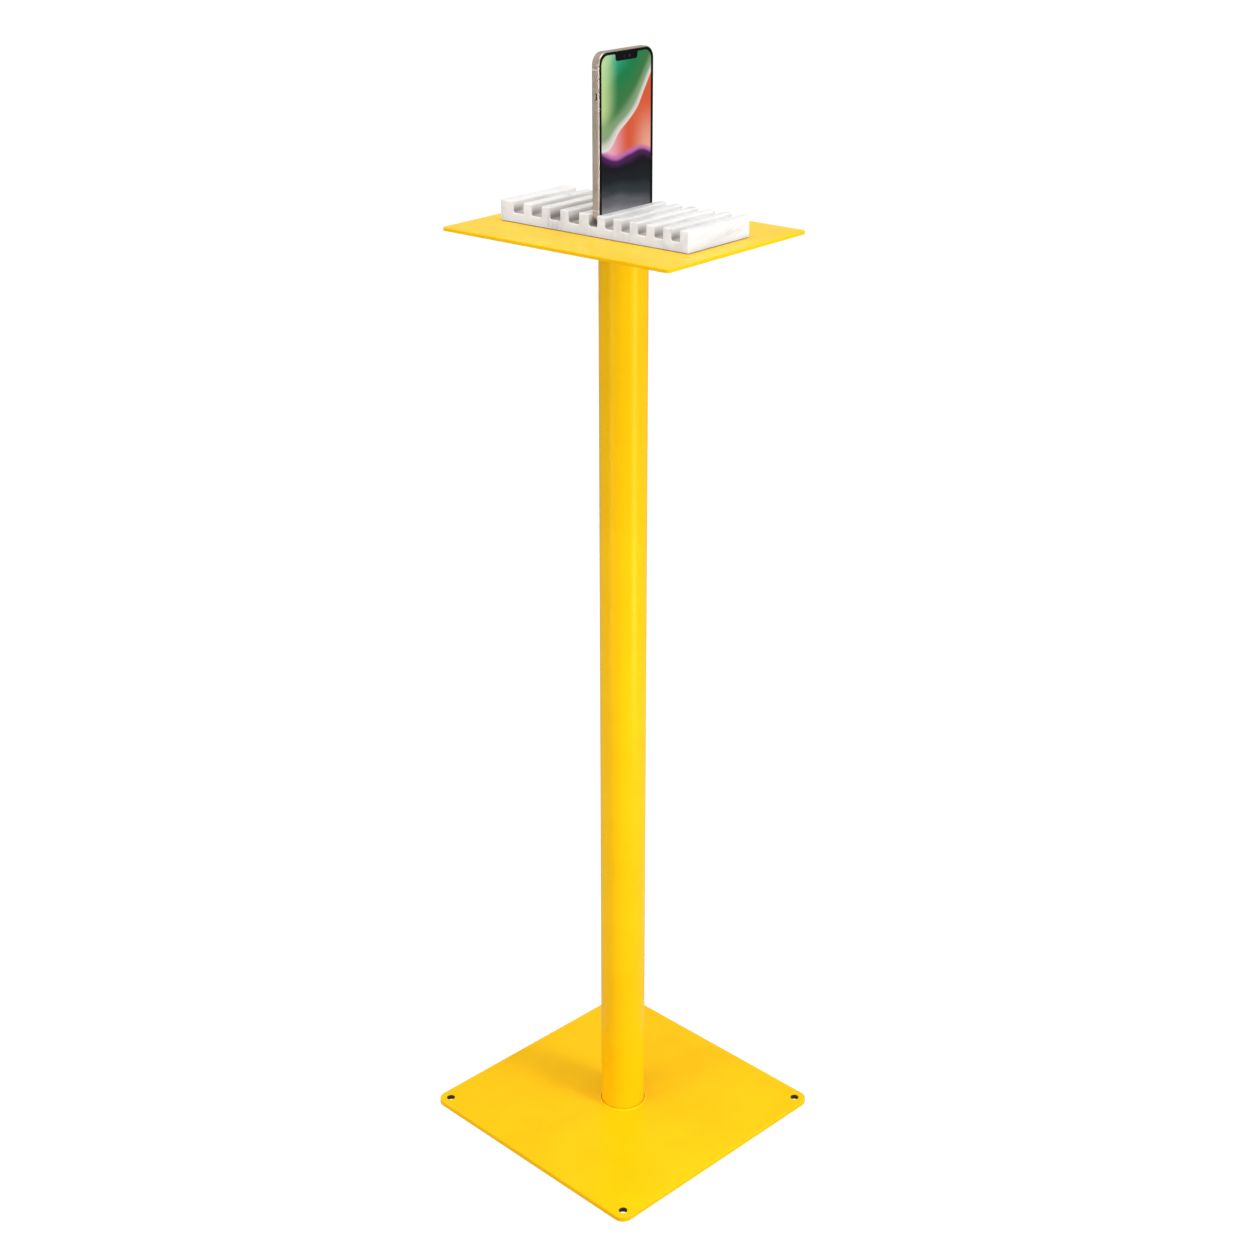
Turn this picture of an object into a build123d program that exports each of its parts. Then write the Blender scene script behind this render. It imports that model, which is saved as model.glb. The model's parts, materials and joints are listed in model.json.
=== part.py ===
from build123d import *
import os
from math import sqrt

# A phone charging stand: a square base plate, a round post, a thin tray and a slotted stone
# rack with a charging plug in every slot. One handset stands in the rack.
# Millimetres, +Z up. The origin is on the floor, under the post's axis. The rack's slots are
# open towards -Y, which is the side people use, and +Y is the rear, where the power goes in.

# ---------------------------------------------------------------- driving dimensions
# base plate
BASE_SIDE = 300.0
BASE_THICKNESS = 6.0
BASE_CORNER_R = 12.0
BASE_EDGE_R = 0.8
BASE_TURN_DEG = -5.3            # the plate is turned about the post, relative to the tray
ANCHOR_INSET = 12.0             # hole centre to each plate edge
ANCHOR_HOLE_D = 9.0
ANCHOR_HOLE_BREAK = 0.5

# post and its two welds
STAND_HEIGHT = 996.0            # floor to the tray's top face
POST_D = 48.0
POST_WALL = 2.5
FOOT_WELD_LEG = 3.2
HEAD_WELD_LEG = 2.5
WELD_THROAT = 0.54              # of the leg, at the middle of the weld's curved face
FLANGE_D = 96.0
FLANGE_THICKNESS = 6.0
FLANGE_BORE_D = 20.0

# tray
TRAY_THICKNESS = 3.5
TRAY_MARGIN_X = 23.0            # tray edge to rack end
TRAY_MARGIN_Y = 59.0            # tray edge to rack front or back, for a centred rack
TRAY_CORNER_R = 4.0
TRAY_EDGE_R = 0.7
TRAY_SCREW_PCD = 72.0
TRAY_SCREW_D = 6.0
TRAY_SCREW_HEAD_D = 12.0
TRAY_SCREW_HEAD_H = 3.0
HEX_SOCKET_AF = 4.0
HEX_SOCKET_DEPTH = 2.0

# rack: slot and rib widths from its left end, -X, to its right end
WIDE_SLOTS = 4
WIDE_SLOT_W = 12.9              # takes a handset in its case
WIDE_RIB_W = 10.3
NARROW_SLOTS = 6
SLOT_CLEARANCE = 1.0            # each side of a bare handset, in the narrow slots
NARROW_RIB_W = 9.25
MIDDLE_RIB_W = 11.95
LEFT_END_W = 16.35
RIGHT_END_W = 9.75
RACK_DEPTH = 92.0
RACK_SHIFT_Y = -1.0
SLOT_DEPTH = 11.0
SLOT_FLOOR_T = 8.8              # stone from the rack's underside to the slot floor
SLOT_FLOOR_R = 1.8
RIB_TOP_R = 0.9
RACK_EDGE_R = 0.7
GASKET_THICKNESS = 0.6
GASKET_INSET = 0.8
GASKET_CORNER_R = 1.0

# pocket under the rack, and what is in it
POCKET_DEPTH = 5.0
POCKET_DEPTH_Y = 64.0
POCKET_MARGIN_X = 6.5           # pocket end to the centre of the nearest slot
POCKET_CORNER_R = 4.0
BOARD_GAP = 1.0                 # board to pocket ceiling
BOARD_THICKNESS = 1.2
BOARD_CLEARANCE = 1.5           # board edge to pocket wall
BOARD_CORNER_R = 3.0
BOARD_INSERT_D = 3.4
BOARD_INSERT_DEPTH = 2.8
BOARD_COLLAR_D = 4.6
BOARD_SCREW_D = 2.0
BOARD_SCREW_HEAD_D = 3.8
BOARD_SCREW_HEAD_H = 1.2
BOARD_SCREW_Y = 24.0
BOARD_SCREW_TIP_GAP = 0.4       # screw tip to the end of its insert's bore
BOARD_INSERT_END_T = 0.6
CROSS_LENGTH = 2.0
CROSS_WIDTH = 0.5
CROSS_DEPTH = 0.6
CHIP = (5.0, 5.0, 0.9)
CHIP_Y = 13.0
INDUCTOR = (6.0, 6.0, 2.0)
INDUCTOR_Y = 20.5
INDUCTOR_CORNER_R = 1.0
CAPACITOR = (2.0, 3.2, 1.4)
CAPACITOR_Y = -17.0
SUPPLY_SOCKET = (12.0, 8.0)
SUPPLY_SOCKET_GAP = 0.2         # over the cable bush

# fastening of the rack to the tray
RACK_INSERT_D = 6.0
RACK_INSERT_LENGTH = 6.0
RACK_SCREW_D = 4.0
RACK_SCREW_HEAD_D = 8.0
RACK_SCREW_HEAD_H = 2.4
RACK_SCREW_HEX_AF = 2.5
RACK_SCREW_HEX_DEPTH = 1.4
RACK_SCREW_TIP_GAP = 0.5        # screw tip to the end of its insert
RACK_SCREW_INSET_X = 6.6        # screw axis to rack end
RACK_SCREW_INSET_Y = 10.0       # screw axis to rack front or back
WASHER_D = 9.0
WASHER_THICKNESS = 0.8
SCREW_CLEARANCE = 0.25          # on the radius, in every clearance hole

# charging plugs
PLUG_Y = -4.0
PLUG_WIDTH = 8.3
PLUG_THICKNESS = 2.5
PLUG_WALL = 0.35
PLUG_HEIGHT = 6.4               # above the slot floor
PLUG_TONGUE_T = 0.7
PLUG_TONGUE_GAP = 0.85          # tongue's side to the shell
PLUG_TONGUE_SHORT = 1.0         # tongue's end below the shell's mouth
BOOT_WIDTH = 12.0
BOOT_THICKNESS = 5.0
BOOT_COLLAR = 1.0               # the collar under the stone reaches this far past the boot

# supply: inlet on the post's rear, lead inside the post, socket on the board
INLET_Z = 45.0
INLET_THREAD_D = 11.0
INLET_FACE_D = 14.0
INLET_FACE_T = 1.8
INLET_RIM_R = 0.6
INLET_COLLAR_D = 16.0
INLET_COLLAR_T = 1.0            # at the post's crown
INLET_DEPTH = 15.5              # from the face's back to the tail
INLET_BORE_D = 5.6
INLET_BORE_DEPTH = 10.0
INLET_PIN_D = 2.1
INLET_PIN_SHORT = 1.0           # pin's tip below the inlet's mouth
INLET_PIN_TIP_R = 0.4
INLET_NUT_AF = 13.0
INLET_NUT_T = 2.3
LEAD_D = 4.0
LEAD_BEND_R = 14.0
LEAD_STUB = 2.0                 # straight run out of the inlet's tail
LEAD_CENTRING_RUN = 55.0        # height over which the lead comes back to the axis
LEAD_CENTRING_R = 150.0
GROMMET_BORE_WALL = 2.0
GROMMET_LIP = 2.0
GROMMET_LIP_T = 1.0

# handset
PHONE_WIDTH = 79.0
PHONE_HEIGHT = 155.8
PHONE_THICKNESS = 8.2
PHONE_CORNER_R = 11.5
PHONE_EDGE_R = 0.9
PHONE_WALL = 3.2
PHONE_LEAN = 0.6                # of the slot clearance, towards the right-hand rib
PHONE_FLOOR_GAP = 0.3
GLASS_THICKNESS = 0.8
GLASS_INSET = 0.9
GLASS_EDGE_R = 0.25
DISPLAY_THICKNESS = 1.2
DISPLAY_GAP = 0.2               # display to the band, all round
PORT_CLEARANCE = 0.35
PORT_WALL = 0.4
PORT_DEPTH = 7.2
FIT_CLEARANCE = 0.15            # around a button in the frame
BUTTON_PROUD = 0.35
BUTTON_WIDTH = 2.6
BUTTON_FLANGE = 0.8
BUTTON_EDGE_R = 0.25
VOLUME_LENGTH = 10.5
VOLUME_UP_Z = 97.0              # button centres, from the handset's bottom edge
VOLUME_DOWN_Z = 82.0
SWITCH_Z = 117.2
SWITCH_LENGTH = 6.0
SWITCH_TRAVEL = 1.2
SIDE_BUTTON_Z = 108.0
SIDE_BUTTON_LENGTH = 18.0
SIM_Z = 38.5
SIM_LENGTH = 14.0
SIM_DEPTH = 17.0
SIM_THICKNESS = 1.8
SIM_PIN_D = 1.1
SIM_PIN_DEPTH = 1.6
SIM_DOOR_LIP = 0.3              # door's inner face past the rail's inner face
SIM_CARD_STEP = 0.4             # card frame thinner than the door, each side
SIM_FRAME_W = 1.0
BAND_Z = (14.0, 140.7)          # antenna bands' centres, from the handset's bottom edge
BAND_HEIGHT = 1.2
BAND_DEPTH = 0.6
CAMERA_PROUD = 1.2
CAMERA_WIDTH = 18.0
CAMERA_EDGE_R = 0.4
CAMERA_INSET_Y = 18.0           # lens axis to the handset's right edge
CAMERA_INSET_Z = 22.0           # upper lens axis to its top edge
LENS_D = 12.0
LENS_RING_WALL = 1.2
LENS_RING_PROUD = 0.4           # beyond the camera plate
LENS_GLASS_PROUD = 0.1
LENS_EDGE_R = 0.3
LENS_PITCH = 21.0
FLASH_D = 5.0
SOUND_HOLES = 5
SOUND_HOLE_D = 1.4
SOUND_HOLE_PITCH = 3.0
SOUND_HOLE_START = 12.0         # first hole to the port's centre
CELL_X = -1.2                   # battery and board, off the handset's mid plane
BATTERY_THICKNESS = 3.0
BATTERY_HEIGHT = 84.0
BATTERY_Z = 18.0
BATTERY_MARGIN = 5.0            # to the band, on its near side
BATTERY_CORNER_R = 1.5
LOGIC_THICKNESS = 1.2
LOGIC_HEIGHT = 38.0
LOGIC_Z = 108.0
SIM_SIDE_ROOM = 19.0            # left free beside the battery and board for the card tray

# ---------------------------------------------------------------- sizes that follow
post_r = POST_D / 2
post_bore_r = post_r - POST_WALL
tray_under_z = STAND_HEIGHT - TRAY_THICKNESS
flange_under_z = tray_under_z - FLANGE_THICKNESS

NARROW_SLOT_W = PHONE_THICKNESS + 2 * SLOT_CLEARANCE
slot_widths = [WIDE_SLOT_W] * WIDE_SLOTS + [NARROW_SLOT_W] * NARROW_SLOTS
rib_widths = [WIDE_RIB_W] * (WIDE_SLOTS - 1) + [MIDDLE_RIB_W] + [NARROW_RIB_W] * (NARROW_SLOTS - 1)
RACK_LENGTH = LEFT_END_W + sum(slot_widths) + sum(rib_widths) + RIGHT_END_W
rack_left = -RACK_LENGTH / 2
rack_bottom_z = STAND_HEIGHT + GASKET_THICKNESS
rack_height = SLOT_FLOOR_T + SLOT_DEPTH
slot_floor_z = rack_bottom_z + SLOT_FLOOR_T
ceiling_z = rack_bottom_z + POCKET_DEPTH
board_top_z = ceiling_z - BOARD_GAP
board_under_z = board_top_z - BOARD_THICKNESS

tray_x = RACK_LENGTH + 2 * TRAY_MARGIN_X
tray_y = RACK_DEPTH + 2 * TRAY_MARGIN_Y

PHONE_SLOT = WIDE_SLOTS         # index of the first narrow slot, where the handset stands


def slot_centres():
    """The X of each slot's centre, from the left."""
    centres = []
    edge = rack_left + LEFT_END_W
    for width, rib in zip(slot_widths, rib_widths + [0.0]):
        centres.append(edge + width / 2)
        edge += width + rib
    return centres


slots_x = slot_centres()
pocket_length = slots_x[-1] - slots_x[0] + 2 * POCKET_MARGIN_X
pocket_x = (slots_x[0] + slots_x[-1]) / 2
board_length = pocket_length - 2 * BOARD_CLEARANCE
board_depth = POCKET_DEPTH_Y - 2 * BOARD_CLEARANCE
phone_x = slots_x[PHONE_SLOT] + PHONE_LEAN * SLOT_CLEARANCE
phone_bottom_z = slot_floor_z + PHONE_FLOOR_GAP
phone_mid_z = phone_bottom_z + PHONE_HEIGHT / 2

grommet_d = LEAD_D + 2 * GROMMET_BORE_WALL
grommet_lip_d = grommet_d + 2 * GROMMET_LIP
socket_height = board_under_z - STAND_HEIGHT - GROMMET_LIP_T - SUPPLY_SOCKET_GAP
inlet_face_y = post_r + INLET_COLLAR_T
inlet_mouth_y = inlet_face_y + INLET_FACE_T
inlet_tail_y = inlet_face_y - INLET_DEPTH
lead_y = inlet_tail_y - LEAD_STUB - LEAD_BEND_R

half_t = PHONE_THICKNESS / 2
half_w = PHONE_WIDTH / 2
glass_w = PHONE_WIDTH - 2 * GLASS_INSET
glass_h = PHONE_HEIGHT - 2 * GLASS_INSET
glass_r = PHONE_CORNER_R - GLASS_INSET
inner_w = PHONE_WIDTH - 2 * PHONE_WALL
inner_h = PHONE_HEIGHT - 2 * PHONE_WALL
inner_r = PHONE_CORNER_R - PHONE_WALL
port_width = PLUG_WIDTH + 2 * PORT_CLEARANCE
port_thickness = PLUG_THICKNESS + 2 * PORT_CLEARANCE
port_x = slots_x[PHONE_SLOT]
flange_reach = PHONE_WALL + FIT_CLEARANCE
lens_y = half_w - CAMERA_INSET_Y
lens_z = (PHONE_HEIGHT - CAMERA_INSET_Z, PHONE_HEIGHT - CAMERA_INSET_Z - LENS_PITCH)
flash_z = PHONE_HEIGHT - CAMERA_INSET_Z - LENS_PITCH / 2


# ---------------------------------------------------------------- helpers
def rod(diameter, height, x=0.0, y=0.0, z=0.0):
    """A cylinder standing on z."""
    return Pos(x, y, z + height / 2) * Cylinder(diameter / 2, height)


def rod_y(diameter, y0, y1, x=0.0, z=0.0):
    """A cylinder along Y, from y0 to y1."""
    return Pos(x, (y0 + y1) / 2, z) * Rot(90, 0, 0) * Cylinder(diameter / 2, y1 - y0)


def rod_x(diameter, x0, x1, y=0.0, z=0.0):
    """A cylinder along X, from x0 to x1."""
    return Pos((x0 + x1) / 2, y, z) * Rot(0, 90, 0) * Cylinder(diameter / 2, x1 - x0)


def block(x_size, y_size, z_size, x=0.0, y=0.0, z=0.0):
    """A box standing on z."""
    return Pos(x, y, z + z_size / 2) * Box(x_size, y_size, z_size)


def plate(x_size, y_size, thickness, corner_r, edge_r, z):
    """A plate with round corners and softened edges, standing on z."""
    body = Pos(0, 0, z) * extrude(RectangleRounded(x_size, y_size, corner_r), thickness)
    rims = body.faces().filter_by(Axis.Z).edges()
    return fillet(rims, edge_r)


def weld_ring(z, leg, up):
    """A fillet weld round the post, on a face at z, with its throat towards up (1 or -1)."""
    toe, root, crown = (post_r + leg, 0), (post_r, 0), (post_r, up * leg)
    throat = (post_r + leg * WELD_THROAT, up * leg * WELD_THROAT)
    outline = Line(crown, root) + Line(root, toe) + ThreePointArc(toe, throat, crown)
    return Pos(0, 0, z) * revolve(Plane.XZ * make_face(outline), Axis.Z)


def pill(width, height, thickness, x, y, z):
    """An upright bar with round ends along Y, standing on z."""
    return Pos(x, y, z) * extrude(SlotOverall(width, thickness, rotation=90), height)


def ring_of(shape_at, points):
    """One group of separate solids, the same shape at each point."""
    return Compound(children=[shape_at(x, y) for x, y in points])


def save(name, shape):
    export_step(shape, f"parts/{name}.step")


# ---------------------------------------------------------------- stand
def anchor_points():
    reach = BASE_SIDE / 2 - ANCHOR_INSET
    return [(reach, reach), (-reach, reach), (-reach, -reach), (reach, -reach)]


def base_plate():
    body = plate(BASE_SIDE, BASE_SIDE, BASE_THICKNESS, BASE_CORNER_R, BASE_EDGE_R, 0)
    for x, y in anchor_points():
        body -= rod(ANCHOR_HOLE_D, BASE_THICKNESS, x, y)
        body -= Pos(x, y, BASE_THICKNESS - ANCHOR_HOLE_BREAK / 2) * Cone(
            ANCHOR_HOLE_D / 2, ANCHOR_HOLE_D / 2 + ANCHOR_HOLE_BREAK, ANCHOR_HOLE_BREAK)
    return Rot(0, 0, BASE_TURN_DEG) * body


def post_tube():
    length = flange_under_z - BASE_THICKNESS
    tube = rod(POST_D, length, z=BASE_THICKNESS) - rod(2 * post_bore_r, length, z=BASE_THICKNESS)
    return tube - rod_y(INLET_THREAD_D, 0, post_r + 1, z=INLET_Z)


def tray_screw_points():
    reach = TRAY_SCREW_PCD / 2 / sqrt(2)
    return [(reach, reach), (-reach, reach), (-reach, -reach), (reach, -reach)]


def rack_screw_points():
    reach_x = RACK_LENGTH / 2 - RACK_SCREW_INSET_X
    reach_y = RACK_DEPTH / 2 - RACK_SCREW_INSET_Y
    return [(sx * reach_x, RACK_SHIFT_Y + sy * reach_y) for sx in (-1, 1) for sy in (-1, 1)]


def head_flange():
    body = rod(FLANGE_D, FLANGE_THICKNESS, z=flange_under_z)
    body -= rod(FLANGE_BORE_D, FLANGE_THICKNESS, z=flange_under_z)
    for x, y in tray_screw_points():
        body -= rod(TRAY_SCREW_D, FLANGE_THICKNESS, x, y, flange_under_z)
    return body


def countersunk_screw(x, y):
    """A tray screw: its head is flush with the tray and its thread ends inside the flange."""
    head = Pos(x, y, STAND_HEIGHT - TRAY_SCREW_HEAD_H / 2) * Cone(
        TRAY_SCREW_D / 2, TRAY_SCREW_HEAD_D / 2, TRAY_SCREW_HEAD_H)
    neck = rod(TRAY_SCREW_D, TRAY_THICKNESS - TRAY_SCREW_HEAD_H + FLANGE_THICKNESS, x, y, flange_under_z)
    socket = Pos(x, y, STAND_HEIGHT - HEX_SOCKET_DEPTH) * extrude(
        RegularPolygon(HEX_SOCKET_AF / 2, 6, major_radius=False), HEX_SOCKET_DEPTH)
    return (head + neck - socket).solid()


def tray_plate():
    body = plate(tray_x, tray_y, TRAY_THICKNESS, TRAY_CORNER_R, TRAY_EDGE_R, tray_under_z)
    body -= rod(grommet_d, TRAY_THICKNESS, z=tray_under_z)
    for x, y in tray_screw_points():
        body -= rod(TRAY_SCREW_D, TRAY_THICKNESS, x, y, tray_under_z)
        body -= Pos(x, y, STAND_HEIGHT - TRAY_SCREW_HEAD_H / 2) * Cone(
            TRAY_SCREW_D / 2, TRAY_SCREW_HEAD_D / 2, TRAY_SCREW_HEAD_H)
    for x, y in rack_screw_points():
        body -= rod(RACK_SCREW_D + 2 * SCREW_CLEARANCE, TRAY_THICKNESS, x, y, tray_under_z)
    return body


# ---------------------------------------------------------------- rack
def rack_profile():
    """The rack's end view, X across and Z up from its underside."""
    outline = Pos(0, rack_height / 2) * Rectangle(RACK_LENGTH, rack_height)
    for x, width in zip(slots_x, slot_widths):
        outline -= Pos(x, SLOT_FLOOR_T + SLOT_DEPTH / 2) * Rectangle(width, SLOT_DEPTH)
    floor_corners = [v for v in outline.vertices() if abs(v.Y - SLOT_FLOOR_T) < 0.01]
    outline = fillet(floor_corners, SLOT_FLOOR_R)
    rib_corners = [v for v in outline.vertices() if abs(v.Y - rack_height) < 0.01]
    return fillet(rib_corners, RIB_TOP_R)


def rack_block():
    section = Plane.XZ.offset(-(RACK_SHIFT_Y + RACK_DEPTH / 2)) * rack_profile()
    body = Pos(0, 0, rack_bottom_z) * extrude(section, RACK_DEPTH)
    face_edges = body.faces().filter_by(Axis.Y).edges()
    face_edges = [e for e in face_edges if e.center().Z > rack_bottom_z + 0.01]
    body = fillet(face_edges, RACK_EDGE_R)
    body -= Pos(pocket_x, RACK_SHIFT_Y, rack_bottom_z) * extrude(
        RectangleRounded(pocket_length, POCKET_DEPTH_Y, POCKET_CORNER_R), POCKET_DEPTH)
    through = slot_floor_z - ceiling_z
    for x in slots_x:
        body -= pill(BOOT_WIDTH, through, BOOT_THICKNESS, x, PLUG_Y, ceiling_z)
    for x, y in rack_screw_points():
        body -= rod(RACK_INSERT_D, RACK_INSERT_LENGTH, x, y, rack_bottom_z)
    for x, y in board_screw_points():
        body -= rod(BOARD_INSERT_D, BOARD_INSERT_DEPTH, x, y, ceiling_z)
    return body


def rack_gasket():
    """A thin seal under the rack's rim, open over the pocket."""
    outer = RectangleRounded(RACK_LENGTH - 2 * GASKET_INSET, RACK_DEPTH - 2 * GASKET_INSET, GASKET_CORNER_R)
    inner = Pos(pocket_x, 0) * RectangleRounded(pocket_length, POCKET_DEPTH_Y, POCKET_CORNER_R)
    body = Pos(0, RACK_SHIFT_Y, STAND_HEIGHT) * extrude(outer - inner, GASKET_THICKNESS)
    for x, y in rack_screw_points():
        body -= rod(RACK_SCREW_D + 2 * SCREW_CLEARANCE, GASKET_THICKNESS, x, y, STAND_HEIGHT)
    return body


def rack_insert(x, y):
    return (rod(RACK_INSERT_D, RACK_INSERT_LENGTH, x, y, rack_bottom_z)
            - rod(RACK_SCREW_D, RACK_INSERT_LENGTH, x, y, rack_bottom_z))


def rack_screw(x, y):
    seat_z = tray_under_z - WASHER_THICKNESS
    length = WASHER_THICKNESS + TRAY_THICKNESS + GASKET_THICKNESS + RACK_INSERT_LENGTH - RACK_SCREW_TIP_GAP
    head = rod(RACK_SCREW_HEAD_D, RACK_SCREW_HEAD_H, x, y, seat_z - RACK_SCREW_HEAD_H)
    head = fillet(head.edges().filter_by(GeomType.CIRCLE).sort_by(Axis.Z)[0], RACK_SCREW_HEAD_H / 2)
    socket = Pos(x, y, seat_z - RACK_SCREW_HEAD_H) * extrude(
        RegularPolygon(RACK_SCREW_HEX_AF / 2, 6, major_radius=False), RACK_SCREW_HEX_DEPTH)
    return (head + rod(RACK_SCREW_D, length, x, y, seat_z) - socket).solid()


def rack_washer(x, y):
    z = tray_under_z - WASHER_THICKNESS
    return (rod(WASHER_D, WASHER_THICKNESS, x, y, z)
            - rod(RACK_SCREW_D + 2 * SCREW_CLEARANCE, WASHER_THICKNESS, x, y, z))


# ---------------------------------------------------------------- charging board and plugs
def rib_centre(left_slot):
    """The X of the rib to the right of a slot."""
    left = slots_x[left_slot] + slot_widths[left_slot] / 2
    right = slots_x[left_slot + 1] - slot_widths[left_slot + 1] / 2
    return (left + right) / 2


def board_screw_points():
    """Under the second rib from each end and the middle one, in two rows."""
    last = len(slots_x) - 2
    ribs = (0, WIDE_SLOTS, last)
    return [(rib_centre(i), RACK_SHIFT_Y + side * BOARD_SCREW_Y) for i in ribs for side in (-1, 1)]


def charge_board():
    body = Pos(pocket_x, RACK_SHIFT_Y, board_under_z) * extrude(
        RectangleRounded(board_length, board_depth, BOARD_CORNER_R), BOARD_THICKNESS)
    for x, y in board_screw_points():
        body -= rod(BOARD_SCREW_D + 2 * SCREW_CLEARANCE, BOARD_THICKNESS, x, y, board_under_z)
    return body


def board_insert(x, y):
    """A brass insert in the stone, whose collar spaces the board from the pocket's ceiling."""
    body = rod(BOARD_INSERT_D, BOARD_INSERT_DEPTH, x, y, ceiling_z)
    body += rod(BOARD_COLLAR_D, BOARD_GAP, x, y, board_top_z)
    bore = BOARD_GAP + BOARD_INSERT_DEPTH - BOARD_INSERT_END_T
    return (body - rod(BOARD_SCREW_D, bore, x, y, board_top_z)).solid()


def board_screw(x, y):
    length = BOARD_THICKNESS + BOARD_GAP + BOARD_INSERT_DEPTH - BOARD_INSERT_END_T - BOARD_SCREW_TIP_GAP
    head = rod(BOARD_SCREW_HEAD_D, BOARD_SCREW_HEAD_H, x, y, board_under_z - BOARD_SCREW_HEAD_H)
    cross = block(CROSS_LENGTH, CROSS_WIDTH, CROSS_DEPTH, x, y, board_under_z - BOARD_SCREW_HEAD_H)
    cross += block(CROSS_WIDTH, CROSS_LENGTH, CROSS_DEPTH, x, y, board_under_z - BOARD_SCREW_HEAD_H)
    return (head + rod(BOARD_SCREW_D, length, x, y, board_under_z) - cross).solid()


def plug_boot(x):
    """The moulded part of a plug: a collar under the stone and a body flush with the slot floor."""
    rise = slot_floor_z - ceiling_z
    body = pill(BOOT_WIDTH + 2 * BOOT_COLLAR, BOARD_GAP, BOOT_THICKNESS + 2 * BOOT_COLLAR,
                x, PLUG_Y, board_top_z)
    body += pill(BOOT_WIDTH, rise, BOOT_THICKNESS, x, PLUG_Y, ceiling_z)
    return body - pill(PLUG_WIDTH, BOARD_GAP + rise, PLUG_THICKNESS, x, PLUG_Y, board_top_z)


def plug_shell(x):
    """The metal tip: a stadium tube, from the board to its open mouth."""
    height = slot_floor_z + PLUG_HEIGHT - board_top_z
    outer = pill(PLUG_WIDTH, height, PLUG_THICKNESS, x, PLUG_Y, board_top_z)
    mouth = outer.faces().sort_by(Axis.Z)[-1].edges()
    inner = pill(PLUG_WIDTH - 2 * PLUG_WALL, height, PLUG_THICKNESS - 2 * PLUG_WALL, x, PLUG_Y, board_top_z)
    return fillet(mouth, PLUG_WALL * 0.6) - inner


def plug_tongue(x):
    """The contact insert, standing inside the lower part of the shell."""
    height = slot_floor_z + PLUG_HEIGHT - board_top_z - PLUG_TONGUE_SHORT
    width = PLUG_WIDTH - 2 * PLUG_WALL - 2 * PLUG_TONGUE_GAP
    return block(PLUG_TONGUE_T, width, height, x, PLUG_Y, board_top_z)


def under_board(size, x, y):
    """A component hanging under the board."""
    return block(*size, x, RACK_SHIFT_Y + y, board_under_z - size[2])


def port_chip(x):
    return under_board(CHIP, x, CHIP_Y)


def port_inductor(x):
    body = under_board(INDUCTOR, x, INDUCTOR_Y)
    return fillet(body.edges().filter_by(Axis.Z), INDUCTOR_CORNER_R)


def port_capacitor(x):
    return under_board(CAPACITOR, x, CAPACITOR_Y)


def supply_socket():
    """The board's power socket, over the tray's cable hole."""
    return block(*SUPPLY_SOCKET, socket_height, 0, 0, board_under_z - socket_height)


# ---------------------------------------------------------------- supply line
def cable_grommet():
    """A rubber bush in the tray, with a lip above it and one below, inside the flange's bore."""
    body = rod(grommet_d, TRAY_THICKNESS, z=tray_under_z)
    body += rod(grommet_lip_d, GROMMET_LIP_T, z=STAND_HEIGHT)
    body += rod(grommet_lip_d, GROMMET_LIP_T, z=tray_under_z - GROMMET_LIP_T)
    height = TRAY_THICKNESS + 2 * GROMMET_LIP_T
    return (body - rod(LEAD_D, height, z=tray_under_z - GROMMET_LIP_T)).solid()


def inlet_collar():
    """A saddle that squares the inlet's flat face to the round post."""
    body = rod_y(INLET_COLLAR_D, post_bore_r, inlet_face_y, z=INLET_Z)
    body -= rod(POST_D, 2 * INLET_COLLAR_D, z=INLET_Z - INLET_COLLAR_D)
    return body - rod_y(INLET_THREAD_D, 0, inlet_face_y, z=INLET_Z)


def inlet_jack():
    body = rod_y(INLET_FACE_D, inlet_face_y, inlet_mouth_y, z=INLET_Z)
    rim = body.edges().filter_by(GeomType.CIRCLE).sort_by(Axis.Y)[-1]
    body = fillet(rim, INLET_RIM_R)
    body += rod_y(INLET_THREAD_D, inlet_tail_y, inlet_face_y, z=INLET_Z)
    body -= rod_y(INLET_BORE_D, inlet_mouth_y - INLET_BORE_DEPTH, inlet_mouth_y, z=INLET_Z)
    return body.solid()


def inlet_pin():
    pin = rod_y(INLET_PIN_D, inlet_mouth_y - INLET_BORE_DEPTH, inlet_mouth_y - INLET_PIN_SHORT, z=INLET_Z)
    return fillet(pin.edges().filter_by(GeomType.CIRCLE).sort_by(Axis.Y)[-1], INLET_PIN_TIP_R)


def inlet_nut():
    """A hexagonal nut inside the post, whose corners bear on the bore."""
    corner = INLET_NUT_AF / sqrt(3)
    bearing_y = sqrt(post_bore_r ** 2 - corner ** 2)
    hexagon = Plane.XZ.offset(-bearing_y) * RegularPolygon(INLET_NUT_AF / 2, 6, major_radius=False)
    body = Pos(0, 0, INLET_Z) * extrude(hexagon, INLET_NUT_T)
    return body - rod_y(INLET_THREAD_D, 0, post_r, z=INLET_Z)


def supply_lead():
    """From the inlet's tail, up inside the post, to the socket under the board."""
    points = [
        (0, inlet_tail_y, INLET_Z),
        (0, lead_y, INLET_Z),
        (0, lead_y, tray_under_z - 2 * LEAD_CENTRING_RUN),
        (0, 0, tray_under_z - LEAD_CENTRING_RUN),
        (0, 0, board_under_z - socket_height),
    ]
    path = FilletPolyline(*points, radius=[LEAD_BEND_R, LEAD_CENTRING_R, LEAD_CENTRING_R])
    return sweep(Plane.XZ.offset(-inlet_tail_y) * Pos(0, INLET_Z) * Circle(LEAD_D / 2), path=path)


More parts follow.
